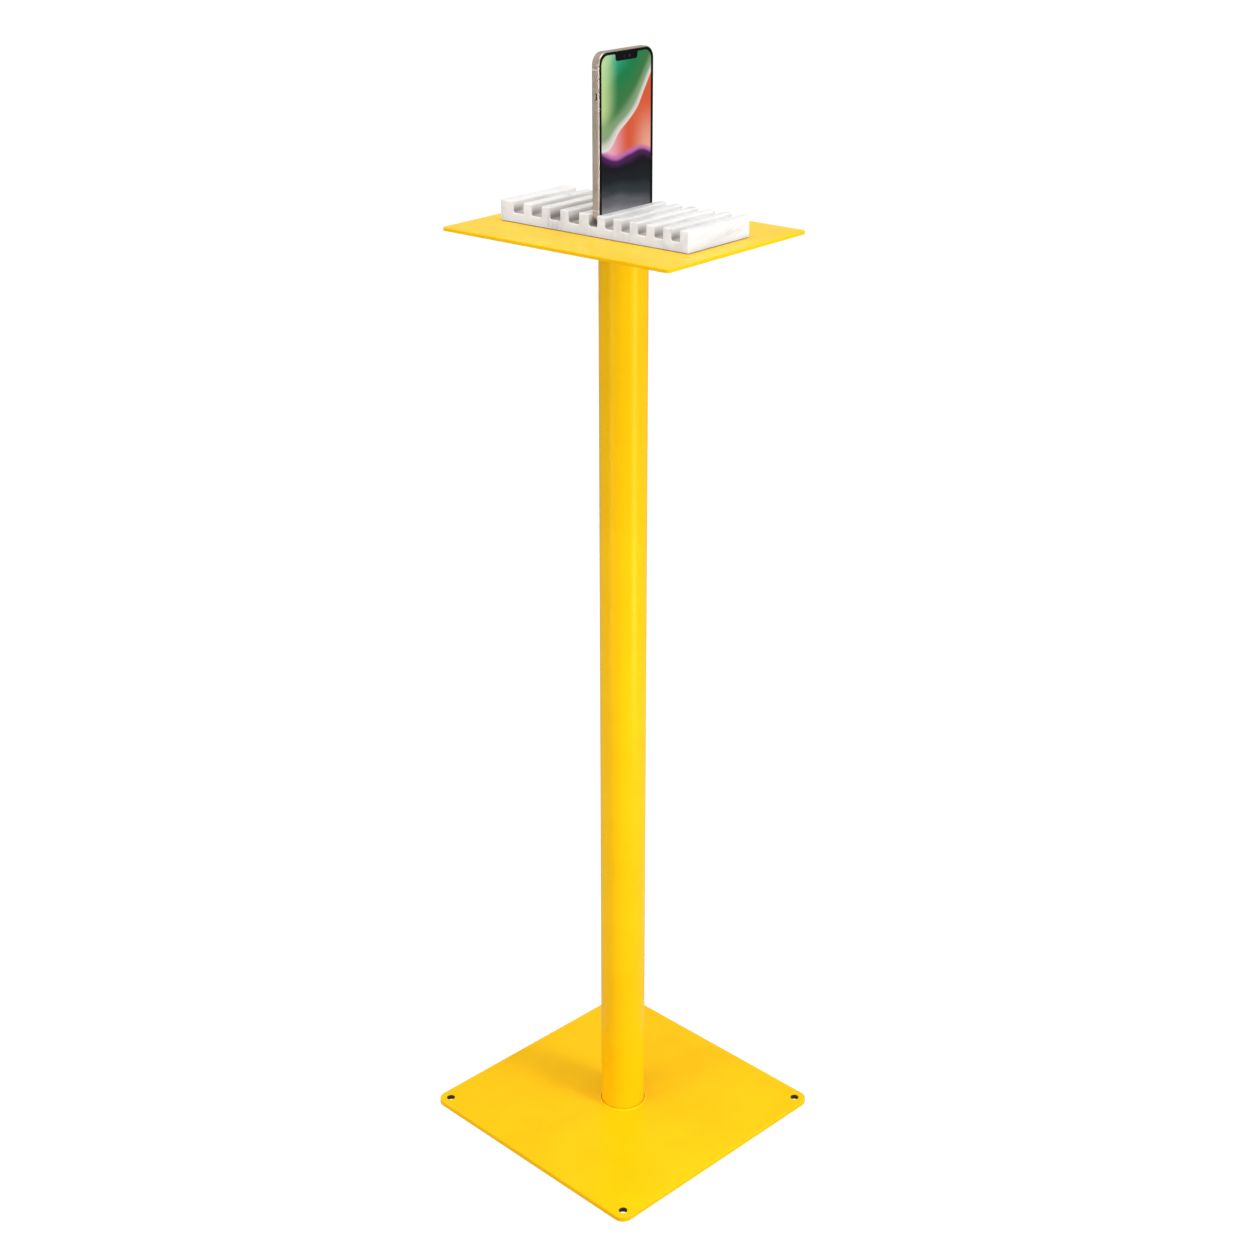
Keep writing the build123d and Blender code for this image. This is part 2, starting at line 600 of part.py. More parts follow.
# ---------------------------------------------------------------- handset
def phone_slab(width, height, corner_r, x0, x1):
    """A slab parallel to the screen, from x0 to x1 across the handset's own thickness."""
    sketch = Plane.YZ.offset(x0) * RectangleRounded(width, height, corner_r)
    return Pos(phone_x, PLUG_Y, phone_mid_z) * extrude(sketch, x1 - x0)


def side_pill(length, width, y0, y1, z):
    """An upright pill through a side rail, from y0 to y1, z above the handset's bottom."""
    sketch = Plane.XZ.offset(-y1) * SlotOverall(length, width, rotation=90)
    return Pos(phone_x, PLUG_Y, phone_bottom_z + z) * extrude(sketch, y1 - y0)


def phone_outer():
    """The handset's outline as one solid, with the band's soft edges."""
    body = phone_slab(PHONE_WIDTH, PHONE_HEIGHT, PHONE_CORNER_R, -half_t, half_t)
    return fillet(body.faces().filter_by(Axis.X).edges(), PHONE_EDGE_R)


def band_slabs():
    """Where the antenna bands cross the two side rails."""
    reach = half_w - BAND_DEPTH / 2
    return [block(PHONE_THICKNESS, BAND_DEPTH, BAND_HEIGHT, phone_x, PLUG_Y + side * reach,
                  phone_bottom_z + z - BAND_HEIGHT / 2) for side in (-1, 1) for z in BAND_Z]


def antenna_bands():
    """Polymer strips let into the side rails, flush with the metal."""
    outer = phone_outer()
    return Compound(children=[(outer & slab).solid() for slab in band_slabs()])


def phone_frame():
    """The metal band: a ring with seats for both glasses, button slots, a port and sound holes."""
    body = phone_outer()
    for slab in band_slabs():
        body -= slab
    body -= phone_slab(inner_w, inner_h, inner_r, -half_t, half_t)
    body -= phone_slab(glass_w, glass_h, glass_r, half_t - GLASS_THICKNESS, half_t)
    body -= phone_slab(glass_w, glass_h, glass_r, -half_t, GLASS_THICKNESS - half_t)
    slot_w = BUTTON_WIDTH + 2 * FIT_CLEARANCE
    left, right = (-half_w - 1, -half_w + PHONE_WALL + 1), (half_w - PHONE_WALL - 1, half_w + 1)
    for length, z in ((VOLUME_LENGTH, VOLUME_UP_Z), (VOLUME_LENGTH, VOLUME_DOWN_Z)):
        body -= side_pill(length + 2 * FIT_CLEARANCE, slot_w, *left, z)
    switch_slot = RectangleRounded(
        slot_w + SWITCH_TRAVEL, SWITCH_LENGTH + 2 * FIT_CLEARANCE, BUTTON_WIDTH / 2)
    body -= Pos(phone_x, PLUG_Y, phone_bottom_z + SWITCH_Z) * extrude(
        Plane.XZ.offset(half_w + 1) * switch_slot, -(PHONE_WALL + 2))
    body -= side_pill(SIDE_BUTTON_LENGTH + 2 * FIT_CLEARANCE, slot_w, *right, SIDE_BUTTON_Z)
    body -= side_pill(SIM_LENGTH + 2 * FIT_CLEARANCE, SIM_THICKNESS + 2 * FIT_CLEARANCE, *left, SIM_Z)
    body -= pill(port_width, PHONE_WALL + 1, port_thickness, port_x, PLUG_Y, phone_bottom_z - 0.5)
    for side in (-1, 1):
        for k in range(SOUND_HOLES):
            y = PLUG_Y + side * (SOUND_HOLE_START + SOUND_HOLE_PITCH * k)
            body -= rod(SOUND_HOLE_D, PHONE_WALL + 1, phone_x, y, phone_bottom_z - 0.5)
    return body.solid()


def front_glass():
    body = phone_slab(glass_w, glass_h, glass_r, half_t - GLASS_THICKNESS, half_t)
    outer = body.faces().sort_by(Axis.X)[-1].edges()
    return fillet(outer, GLASS_EDGE_R)


def display_panel():
    face = half_t - GLASS_THICKNESS
    return phone_slab(inner_w - 2 * DISPLAY_GAP, inner_h - 2 * DISPLAY_GAP, inner_r - DISPLAY_GAP,
                      face - DISPLAY_THICKNESS, face)


def camera_plate():
    """A raised pill on the back, bored for two lenses and a flash."""
    top = lens_z[0] + CAMERA_WIDTH / 2
    bottom = lens_z[1] - CAMERA_WIDTH / 2
    sketch = Plane.YZ.offset(-half_t - CAMERA_PROUD) * SlotOverall(top - bottom, CAMERA_WIDTH, rotation=90)
    body = Pos(phone_x, PLUG_Y + lens_y, phone_bottom_z + (top + bottom) / 2) * extrude(sketch, CAMERA_PROUD)
    body = fillet(body.faces().sort_by(Axis.X)[0].edges(), CAMERA_EDGE_R)
    for z, diameter in ((lens_z[0], LENS_D), (lens_z[1], LENS_D), (flash_z, FLASH_D)):
        body -= back_rod(diameter, CAMERA_PROUD, 0, z)
    return body


def back_rod(diameter, proud, depth, z):
    """A cylinder on the back, from proud of it to depth inside it, at the lenses' Y."""
    return rod_x(diameter, phone_x - half_t - proud, phone_x - half_t + depth,
                 PLUG_Y + lens_y, phone_bottom_z + z)


def back_glass():
    body = phone_slab(glass_w, glass_h, glass_r, -half_t, GLASS_THICKNESS - half_t)
    return fillet(body.faces().sort_by(Axis.X)[0].edges(), GLASS_EDGE_R)


def lens_ring(z):
    proud = CAMERA_PROUD + LENS_RING_PROUD
    return back_rod(LENS_D, proud, 0, z) - back_rod(LENS_D - 2 * LENS_RING_WALL, proud, 0, z)


def lens_glass(z):
    body = back_rod(LENS_D - 2 * LENS_RING_WALL, CAMERA_PROUD + LENS_GLASS_PROUD, 0, z)
    return fillet(body.edges().filter_by(GeomType.CIRCLE).sort_by(Axis.X)[0], LENS_EDGE_R)


def flash_lens():
    body = back_rod(FLASH_D, CAMERA_PROUD, 0, flash_z)
    return fillet(body.edges().filter_by(GeomType.CIRCLE).sort_by(Axis.X)[0], LENS_EDGE_R)


def press_button(length, z, side):
    """A pill button with a flange inside the rail; side is -1 for the left rail, 1 for the right."""
    outer = half_w + BUTTON_PROUD
    spans = sorted((side * outer, side * (half_w - flange_reach)))
    cap = side_pill(length, BUTTON_WIDTH, *spans, z)
    cap = fillet(cap.faces().filter_by(Axis.Y).sort_by(Axis.Y)[0 if side < 0 else -1].edges(), BUTTON_EDGE_R)
    inner = sorted((side * (half_w - flange_reach), side * (half_w - flange_reach - BUTTON_FLANGE)))
    flange = side_pill(length + 2 * BUTTON_FLANGE, BUTTON_WIDTH + BUTTON_FLANGE, *inner, z)
    return (cap + flange).solid()


def ring_switch():
    """A small slider in the left rail, at the back end of its slot at rest, held in by its ends."""
    cap = side_pill(SWITCH_LENGTH, BUTTON_WIDTH, -half_w - BUTTON_PROUD, -half_w + flange_reach, SWITCH_Z)
    cap = fillet(cap.faces().filter_by(Axis.Y).sort_by(Axis.Y)[0].edges(), BUTTON_EDGE_R)
    flange = side_pill(SWITCH_LENGTH + 2 * BUTTON_FLANGE, BUTTON_WIDTH,
                       -half_w + flange_reach, -half_w + flange_reach + BUTTON_FLANGE, SWITCH_Z)
    return Pos(-SWITCH_TRAVEL / 2, 0, 0) * (cap + flange).solid()


def sim_tray():
    """A flush door on the left rail with a pin hole, and the card's frame behind it."""
    door = side_pill(SIM_LENGTH, SIM_THICKNESS, -half_w, -half_w + PHONE_WALL + SIM_DOOR_LIP, SIM_Z)
    depth, length = SIM_DEPTH - PHONE_WALL, SIM_LENGTH - 2 * SIM_FRAME_W
    y, z = PLUG_Y - half_w + PHONE_WALL + depth / 2, phone_bottom_z + SIM_Z - length / 2
    card = block(SIM_THICKNESS - 2 * SIM_CARD_STEP, depth, length, phone_x, y, z)
    card -= block(SIM_THICKNESS, depth - 4 * SIM_FRAME_W, length - 2 * SIM_FRAME_W,
                  phone_x, y + SIM_FRAME_W / 2, z + SIM_FRAME_W)
    pin_z = phone_bottom_z + SIM_Z - SIM_LENGTH / 2 + SIM_THICKNESS
    hole = rod_y(SIM_PIN_D, PLUG_Y - half_w, PLUG_Y - half_w + SIM_PIN_DEPTH, phone_x, pin_z)
    return (door + card - hole).solid()


def port_shell():
    """The port's metal box behind the bottom rail, open downwards."""
    base_z = phone_bottom_z + PHONE_WALL
    top_z = phone_bottom_z + PORT_DEPTH + PORT_WALL
    outer = pill(port_width + 2 * PORT_WALL, top_z - base_z, port_thickness + 2 * PORT_WALL,
                 port_x, PLUG_Y, base_z)
    return outer - pill(port_width, top_z - base_z - PORT_WALL, port_thickness, port_x, PLUG_Y, base_z)


def phone_battery():
    width = inner_w - SIM_SIDE_ROOM - BATTERY_MARGIN
    y = PLUG_Y + inner_w / 2 - BATTERY_MARGIN - width / 2
    body = block(BATTERY_THICKNESS, width, BATTERY_HEIGHT, phone_x + CELL_X, y, phone_bottom_z + BATTERY_Z)
    return fillet(body.edges().filter_by(Axis.X), BATTERY_CORNER_R)


def phone_board():
    """The handset's own board, above its battery."""
    width = inner_w - SIM_SIDE_ROOM - BATTERY_MARGIN
    y = PLUG_Y + inner_w / 2 - BATTERY_MARGIN - width / 2
    return block(LOGIC_THICKNESS, width, LOGIC_HEIGHT, phone_x + CELL_X, y, phone_bottom_z + LOGIC_Z)


# ---------------------------------------------------------------- write every piece
os.makedirs("parts", exist_ok=True)

save("base_plate", base_plate())
save("foot_weld", weld_ring(BASE_THICKNESS, FOOT_WELD_LEG, 1))
save("post_tube", post_tube())
save("head_weld", weld_ring(flange_under_z, HEAD_WELD_LEG, -1))
save("head_flange", head_flange())
save("tray_plate", tray_plate())
save("tray_screws", ring_of(countersunk_screw, tray_screw_points()))
save("cable_grommet", cable_grommet())

save("rack_gasket", rack_gasket())
save("rack_block", rack_block())
save("rack_inserts", ring_of(rack_insert, rack_screw_points()))
save("rack_washers", ring_of(rack_washer, rack_screw_points()))
save("rack_screws", ring_of(rack_screw, rack_screw_points()))

save("charge_board", charge_board())
save("board_inserts", ring_of(board_insert, board_screw_points()))
save("board_screws", ring_of(board_screw, board_screw_points()))
save("port_chips", Compound(children=[port_chip(x) for x in slots_x]))
save("port_inductors", Compound(children=[port_inductor(x) for x in slots_x]))
save("port_capacitors", Compound(children=[port_capacitor(x) for x in slots_x]))
save("plug_boots", Compound(children=[plug_boot(x) for x in slots_x]))
save("plug_shells", Compound(children=[plug_shell(x) for x in slots_x]))
save("plug_tongues", Compound(children=[plug_tongue(x) for x in slots_x]))

save("supply_socket", supply_socket())
save("supply_lead", supply_lead())
save("inlet_collar", inlet_collar())
save("inlet_jack", inlet_jack())
save("inlet_pin", inlet_pin())
save("inlet_nut", inlet_nut())

save("phone_frame", phone_frame())
save("antenna_bands", antenna_bands())
save("front_glass", front_glass())
save("display_panel", display_panel())
save("back_glass", back_glass())
save("camera_plate", camera_plate())
save("lens_rings", Compound(children=[lens_ring(z) for z in lens_z]))
save("lens_glasses", Compound(children=[lens_glass(z) for z in lens_z]))
save("flash_lens", flash_lens())
save("port_shell", port_shell())
save("phone_battery", phone_battery())
save("phone_board", phone_board())
save("volume_up_button", press_button(VOLUME_LENGTH, VOLUME_UP_Z, -1))
save("volume_down_button", press_button(VOLUME_LENGTH, VOLUME_DOWN_Z, -1))
save("side_button", press_button(SIDE_BUTTON_LENGTH, SIDE_BUTTON_Z, 1))
save("ring_switch", ring_switch())
save("sim_tray", sim_tray())

print("rack length", round(RACK_LENGTH, 2), "tray", round(tray_x, 1), round(tray_y, 1))
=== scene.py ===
import json
import math

import bmesh
import bpy
from mathutils import Matrix, Vector, noise


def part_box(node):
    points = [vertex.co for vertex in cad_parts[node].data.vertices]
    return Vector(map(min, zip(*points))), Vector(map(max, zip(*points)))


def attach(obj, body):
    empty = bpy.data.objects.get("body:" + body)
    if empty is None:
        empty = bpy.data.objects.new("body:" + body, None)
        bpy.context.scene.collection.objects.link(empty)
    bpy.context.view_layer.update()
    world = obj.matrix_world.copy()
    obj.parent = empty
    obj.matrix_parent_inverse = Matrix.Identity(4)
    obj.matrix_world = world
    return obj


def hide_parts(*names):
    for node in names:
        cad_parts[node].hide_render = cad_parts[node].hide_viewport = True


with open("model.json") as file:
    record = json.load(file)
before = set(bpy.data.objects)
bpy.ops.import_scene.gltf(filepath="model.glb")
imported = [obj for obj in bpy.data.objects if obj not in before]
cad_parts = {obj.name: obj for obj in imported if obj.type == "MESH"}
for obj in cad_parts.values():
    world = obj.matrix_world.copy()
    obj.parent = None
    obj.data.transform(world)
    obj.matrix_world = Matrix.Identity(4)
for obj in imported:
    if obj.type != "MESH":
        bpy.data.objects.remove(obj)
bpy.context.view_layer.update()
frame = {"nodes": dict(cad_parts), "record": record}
MM = 0.001
nodes = frame["nodes"]


# ---------------------------------------------------------------- camera, floor and light
# Azimuth 0 looks along +Y; a positive azimuth moves the camera towards +X.
CAMERA_AZIMUTH = math.radians(39.47)
CAMERA_ELEVATION = math.radians(23.18)
CAMERA_ROLL = math.radians(0.1)
CAMERA_DISTANCE = 2.075
TARGET_HEIGHT = 0.5868
TARGET_RIGHT = 0.0039
LENS_MM = 58.2
SENSOR_MM = 36.0


def spherical(azimuth, elevation):
    """The unit vector from the object towards a place at that azimuth and elevation."""
    level = math.cos(elevation)
    return Vector((math.sin(azimuth) * level, -math.cos(azimuth) * level, math.sin(elevation)))


def aim(obj, place, target, roll=0.0):
    """Puts a camera or a light at place, looking at target."""
    turn = (target - place).to_track_quat("-Z", "Y").to_matrix().to_4x4()
    obj.matrix_world = Matrix.Translation(place) @ turn @ Matrix.Rotation(roll, 4, "Z")


def add_camera():
    data = bpy.data.cameras.new("camera")
    data.lens = LENS_MM
    data.sensor_width = SENSOR_MM
    data.clip_end = 100.0
    camera = bpy.data.objects.new("camera", data)
    bpy.context.scene.collection.objects.link(camera)
    right = Vector((math.cos(CAMERA_AZIMUTH), math.sin(CAMERA_AZIMUTH), 0.0))
    target = Vector((0.0, 0.0, TARGET_HEIGHT)) + right * TARGET_RIGHT
    place = target + spherical(CAMERA_AZIMUTH, CAMERA_ELEVATION) * CAMERA_DISTANCE
    aim(camera, place, target, CAMERA_ROLL)
    bpy.context.scene.camera = camera


def softbox(name, azimuth, elevation, distance, size, radiance, look_at):
    """A rectangular studio light, seen from look_at at that azimuth and elevation in degrees."""
    width, height = size
    data = bpy.data.lights.new(name, "AREA")
    data.shape = "RECTANGLE"
    data.size = width
    data.size_y = height
    data.energy = radiance * math.pi * width * height
    light = bpy.data.objects.new(name, data)
    bpy.context.scene.collection.objects.link(light)
    target = Vector(look_at)
    aim(light, target + spherical(math.radians(azimuth), math.radians(elevation)) * distance, target)
    light.visible_camera = False


FLOOR_HALF = 60.0
SKY = 0.60                  # the sky's light
SKY_SEEN = 1.05             # the sky as the camera sees it, just over white
TRAY_CENTRE = (0.0, 0.0, 1.0)
POST_MIDDLE = (0.0, 0.0, 0.6)
STRIP_SIZE = (0.34, 1.2)


def add_studio():
    """A white floor, an even white sky, soft lights round the object and two strips on the floor."""
    scene = bpy.context.scene
    scene.view_settings.view_transform = "Standard"
    world = bpy.data.worlds.new("studio")
    scene.world = world
    world.use_nodes = True
    tree = world.node_tree
    rays = tree.nodes.new("ShaderNodeLightPath")
    sky = tree.nodes["Background"]
    strength = tree.nodes.new("ShaderNodeMapRange")
    strength.inputs["To Min"].default_value = SKY
    strength.inputs["To Max"].default_value = SKY_SEEN
    tree.links.new(rays.outputs["Is Camera Ray"], strength.inputs["Value"])
    tree.links.new(strength.outputs["Result"], sky.inputs["Strength"])
    sky.inputs["Color"].default_value = (1.0, 1.0, 1.0, 1.0)
    mesh = bpy.data.meshes.new("floor")
    h = FLOOR_HALF
    mesh.from_pydata([(-h, -h, 0), (h, -h, 0), (h, h, 0), (-h, h, 0)], [], [(0, 1, 2, 3)])
    floor = bpy.data.objects.new("floor", mesh)
    scene.collection.objects.link(floor)
    floor.data.materials.append(floor_paper())
    softbox("key", 100, 42, 2.4, (1.4, 1.4), 0.30, POST_MIDDLE)
    softbox("top", 40, 80, 1.8, (1.5, 1.5), 4.70, TRAY_CENTRE)
    softbox("front", 25, 14, 2.6, (1.4, 1.4), 0.35, POST_MIDDLE)
    softbox("left", -70, 35, 2.4, (1.4, 1.4), 0.18, POST_MIDDLE)
    softbox("strip_left", -15.5, 0, 1.2, STRIP_SIZE, 5.00, POST_MIDDLE)
    softbox("strip_right", 94.5, 0, 1.2, STRIP_SIZE, 10.60, POST_MIDDLE)


# ---------------------------------------------------------------- materials
class Shader:
    """A material under construction: a Principled shader and short ways to feed it."""

    def __init__(self, name, **sockets):
        self.material = bpy.data.materials.new(name)
        self.material.use_nodes = True
        self.tree = self.material.node_tree
        self.shader = self.tree.nodes["Principled BSDF"]
        for socket, value in sockets.items():
            self.shader.inputs[socket.replace("_", " ")].default_value = value
        self.place = self.add("ShaderNodeTexCoord").outputs["Object"]

    def add(self, kind, **settings):
        node = self.tree.nodes.new(kind)
        for key, value in settings.items():
            setattr(node, key, value)
        return node

    def put(self, target, value):
        """Links a socket, or sets its value."""
        if isinstance(value, bpy.types.NodeSocket):
            self.tree.links.new(value, target)
        elif isinstance(value, (tuple, list)) and len(value) == 3 and target.type == "RGBA":
            target.default_value = (*value, 1.0)
        else:
            target.default_value = value

    def maths(self, operation, *values):
        node = self.add("ShaderNodeMath", operation=operation)
        for target, value in zip(node.inputs, values):
            self.put(target, value)
        return node.outputs[0]

    def product(self, first, *others):
        for other in others:
            first = self.maths("MULTIPLY", first, other)
        return first

    def seen(self):
        """1 for the camera's own rays, 0 for light on its way between things."""
        return self.add("ShaderNodeLightPath").outputs["Is Camera Ray"]

    def stretch(self, scale, offset=(0, 0, 0)):
        """Object coordinates scaled along each axis, then moved."""
        node = self.add("ShaderNodeMapping")
        self.put(node.inputs["Vector"], self.place)
        node.inputs["Scale"].default_value = scale
        node.inputs["Location"].default_value = offset
        return node.outputs[0]

    def axis(self, name):
        node = self.add("ShaderNodeSeparateXYZ")
        self.put(node.inputs[0], self.place)
        return node.outputs[name]

    def within(self, name, low, high, soft):
        """1 well inside the span along an axis, falling to 0 at its ends over a soft edge."""
        place = self.axis(name)
        rise = self.ramp(place, low + soft * 0.5, low + soft)
        fall = self.ramp(place, high - soft, high - soft * 0.5, 1.0, 0.0)
        return self.product(rise, fall)

    def noise(self, scale, detail=2.0, roughness=0.5, distortion=0.0, vector=None):
        node = self.add("ShaderNodeTexNoise")
        self.put(node.inputs["Vector"], self.place if vector is None else vector)
        self.put(node.inputs["Scale"], scale)
        self.put(node.inputs["Detail"], detail)
        self.put(node.inputs["Roughness"], roughness)
        self.put(node.inputs["Distortion"], distortion)
        return node.outputs["Fac"]

    def ramp(self, value, low, high, to_low=0.0, to_high=1.0, smooth=True):
        node = self.add("ShaderNodeMapRange")
        node.interpolation_type = "SMOOTHSTEP" if smooth else "LINEAR"
        self.put(node.inputs["Value"], value)
        ends = {"From Min": low, "From Max": high, "To Min": to_low, "To Max": to_high}
        for socket, number in ends.items():
            self.put(node.inputs[socket], number)
        return node.outputs["Result"]

    def mix(self, factor, a, b, blend="MIX"):
        node = self.add("ShaderNodeMix", data_type="RGBA", blend_type=blend)
        self.put(node.inputs["Factor"], factor)
        self.put(node.inputs[6], a)
        self.put(node.inputs[7], b)
        return node.outputs[2]

    def bump(self, height, distance, strength=1.0, under=None):
        node = self.add("ShaderNodeBump")
        self.put(node.inputs["Height"], height)
        node.inputs["Strength"].default_value = strength
        node.inputs["Distance"].default_value = distance
        if under is not None:
            self.put(node.inputs["Normal"], under)
        return node.outputs["Normal"]

    def set(self, socket, value):
        self.put(self.shader.inputs[socket], value)


FLOOR_GLOW_SEEN = 0.95       # added for the camera, so that the paper just clips to white
FLOOR_BOUNCE = (0.38, 0.38, 0.38)


def floor_paper():
    """White paper, overexposed as a product photograph has it."""
    s = Shader("floor_paper", Roughness=0.9)
    s.shader.inputs["Specular IOR Level"].default_value = 0.0
    seen = s.seen()
    paper = s.mix(s.noise(3.0), (0.15, 0.15, 0.15), (0.16, 0.16, 0.16))
    s.set("Base Color", s.mix(seen, FLOOR_BOUNCE, paper))
    s.set("Emission Color", (1.0, 1.0, 1.0))
    s.set("Emission Strength", s.product(seen, FLOOR_GLOW_SEEN))
    return s.material


NEUTRAL_BOUNCE = (0.60, 0.565, 0.51)
# painted shade: the colour given to the walls inside the anchor holes
HOLE_WALL_SHADE = (0.09, 0.065, 0.025)
COAT_THIN = (0.87, 0.478, 0.0022)
COAT_THICK = (0.905, 0.515, 0.0030)
COAT_SPECK = (0.70, 0.35, 0.002)
COAT_TINT = (1.0, 0.78, 0.13, 1.0)
HOLE_SOFT = 0.15 * MM


def powder_coat(name, gloss=0.28, bounce=0.0, anchors=()):
    """Semi-gloss yellow powder coat: a fine orange peel over slow changes of film thickness.

    gloss is the specular level. bounce is how far the light that it throws on its neighbours
    is neutral rather than yellow. anchors are the drilled holes, whose walls are painted dark as
    shade.
    """
    s = Shader(name)
    s.shader.inputs["Specular IOR Level"].default_value = gloss
    s.shader.inputs["Specular Tint"].default_value = COAT_TINT
    film = s.noise(9.0, 3.0, 0.6)
    colour = s.mix(s.ramp(film, 0.35, 0.65), COAT_THIN, COAT_THICK)
    speck = s.ramp(s.noise(1900.0, 1.0), 0.62, 0.78)
    colour = s.mix(s.product(speck, 0.18), colour, COAT_SPECK)
    # painted shade inside each anchor hole: its wall takes the dark colour
    for x, y, radius in anchors:
        away = s.add("ShaderNodeVectorMath", operation="DISTANCE")
        s.put(away.inputs[0], s.stretch((1.0, 1.0, 0.0)))
        away.inputs[1].default_value = (x, y, 0.0)
        wall = s.ramp(away.outputs["Value"], radius, radius + HOLE_SOFT, 1.0, 0.0)
        colour = s.mix(wall, colour, HOLE_WALL_SHADE)
    if bounce:
        neutral = s.ramp(s.seen(), 0.0, 1.0, bounce, 0.0, smooth=False)
        colour = s.mix(neutral, colour, NEUTRAL_BOUNCE)
    s.set("Base Color", colour)
    s.set("Roughness", s.ramp(s.noise(24.0, 3.0), 0.3, 0.7, 0.27, 0.35))
    peel = s.bump(s.noise(330.0, 1.5, 0.45), 0.00022, 0.30)
    s.set("Normal", s.bump(s.noise(900.0, 1.0), 0.00005, 0.22, under=peel))
    return s


SLOT_DEPTH = 11.0 * MM
STONE_LIGHT = (0.84, 0.832, 0.822)
STONE_CLOUD = (0.76, 0.754, 0.748)
STONE_HAZE = (0.58, 0.58, 0.59)
STONE_VEIN = (0.40, 0.40, 0.42)
STONE_SPECK = (0.34, 0.27, 0.21)
STONE_GRAIN = (0.70, 0.69, 0.68)
SLOT_WALL_LIGHT = (0.96, 0.955, 0.945)      # painted light on the slots' walls, below the honed top
RIB_TOP_SHADE = (0.84, 0.84, 0.85)     # painted shade on the ribs' tops
SLOT_SHADE = (0.26, 0.225, 0.21)        # painted shade down in the slots, most of all on the left


def marble():
    """Honed white stone: clouds, a few broken grey veins, rare brown specks and fine grain, with
    painted light on the slots' walls and painted shade on the ribs' tops and down in the slots.
    """
    s = Shader("white_marble", Roughness=0.32)
    s.shader.inputs["Specular IOR Level"].default_value = 0.45
    cloud = s.ramp(s.noise(16.0, 5.0, 0.55, 0.4), 0.35, 0.68)
    ground = s.mix(cloud, STONE_LIGHT, STONE_CLOUD)
    lean = s.stretch((1.0, 0.42, 1.0), (0.31, 0.12, 0.0))
    warp = s.noise(11.0, 6.0, 0.62, 1.1, vector=lean)
    ridge = s.maths("ABSOLUTE", s.maths("SUBTRACT", warp, 0.5))
    thin = s.ramp(ridge, 0.0, 0.016, 1.0, 0.0)
    broad = s.ramp(ridge, 0.0, 0.075, 1.0, 0.0)
    broken = s.ramp(s.noise(26.0, 3.0), 0.46, 0.62)
    stone = s.mix(s.product(broad, 0.34), ground, STONE_HAZE)
    stone = s.mix(s.product(thin, broken, 0.30), stone, STONE_VEIN)
    cells = s.add("ShaderNodeTexVoronoi")
    s.put(cells.inputs["Vector"], s.place)
    cells.inputs["Scale"].default_value = 95.0
    chosen = s.ramp(s.noise(31.0, 1.0), 0.66, 0.70)
    spot = s.ramp(cells.outputs["Distance"], 0.05, 0.13, 1.0, 0.0)
    stone = s.mix(s.product(spot, chosen, 0.75), stone, STONE_SPECK)
    low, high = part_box("rack_block")
    slot_floor = high.z - SLOT_DEPTH
    x, y, z = s.axis("X"), s.axis("Y"), s.axis("Z")
    inside = s.product(s.within("X", low.x, high.x, 4 * MM),
                       s.within("Y", low.y, high.y, 1.2 * MM))
    # painted light: the slots' walls are lightened below the top edge
    wall_light = s.ramp(z, high.z - 0.8 * MM, high.z - 0.3 * MM, 0.85, 0.0)
    stone = s.mix(s.product(inside, wall_light), stone, SLOT_WALL_LIGHT)
    # painted shade: the ribs' top faces are darkened
    top_shade = s.ramp(z, high.z - 0.25 * MM, high.z - 0.05 * MM, 0.0, 0.85)
    stone = s.mix(top_shade, stone, RIB_TOP_SHADE, "MULTIPLY")
    # painted shade in the slots: darkest at the floor, near the front, and in patches on the left
    depth = s.ramp(z, slot_floor, slot_floor + 0.95 * SLOT_DEPTH, 1.0, 0.0)
    patchy = s.ramp(s.noise(24.0, 2.0, vector=s.stretch((1.0, 0.6, 1.0))), 0.30, 0.55, 0.55, 1.0)
    left = s.product(s.ramp(x, -0.09, -0.045, 0.5, 1.0), s.ramp(x, -0.015, 0.02, 1.0, 0.15))
    front = s.ramp(y, low.y + 4 * MM, low.y + 34 * MM, 0.85, 0.0)
    shade_amount = s.maths("MAXIMUM", front, s.product(patchy, left))
    stone = s.mix(s.product(inside, depth, shade_amount), stone, SLOT_SHADE)
    grain = s.noise(1500.0, 2.0, 0.6)
    waves = s.bump(s.noise(55.0, 2.0), 0.0003, 0.10)
    s.set("Base Color", s.mix(s.ramp(grain, 0.3, 0.7, 0.0, 0.05), stone, STONE_GRAIN))
    s.set("Roughness", s.ramp(s.noise(90.0, 3.0), 0.3, 0.7, 0.28, 0.42))
    s.set("Normal", s.bump(grain, 0.00003, 0.25, under=waves))
    s.shader.inputs["Subsurface Weight"].default_value = 0.40
    s.shader.inputs["Subsurface Radius"].default_value = (0.008, 0.0072, 0.0064)
    s.shader.inputs["Subsurface Scale"].default_value = 1.0
    return s.material


def metal(name, colour, roughness, streak=(1, 1, 1), streak_scale=900.0, wear=0.06):
    """Bare or plated metal with fine drawn or blasted texture along the stretched axis."""
    s = Shader(name, Metallic=1.0)
    fine = s.noise(streak_scale, 3.0, 0.6, vector=s.stretch(streak))
    dark = tuple(c * (1.0 - wear * 2.2) for c in colour)
    s.set("Base Color", s.mix(s.ramp(fine, 0.3, 0.7), dark, colour))
    s.set("Roughness", s.ramp(s.noise(140.0, 3.0), 0.3, 0.7, roughness - wear, roughness + wear))
    s.set("Normal", s.bump(fine, 0.00002, 0.35))
    return s.material


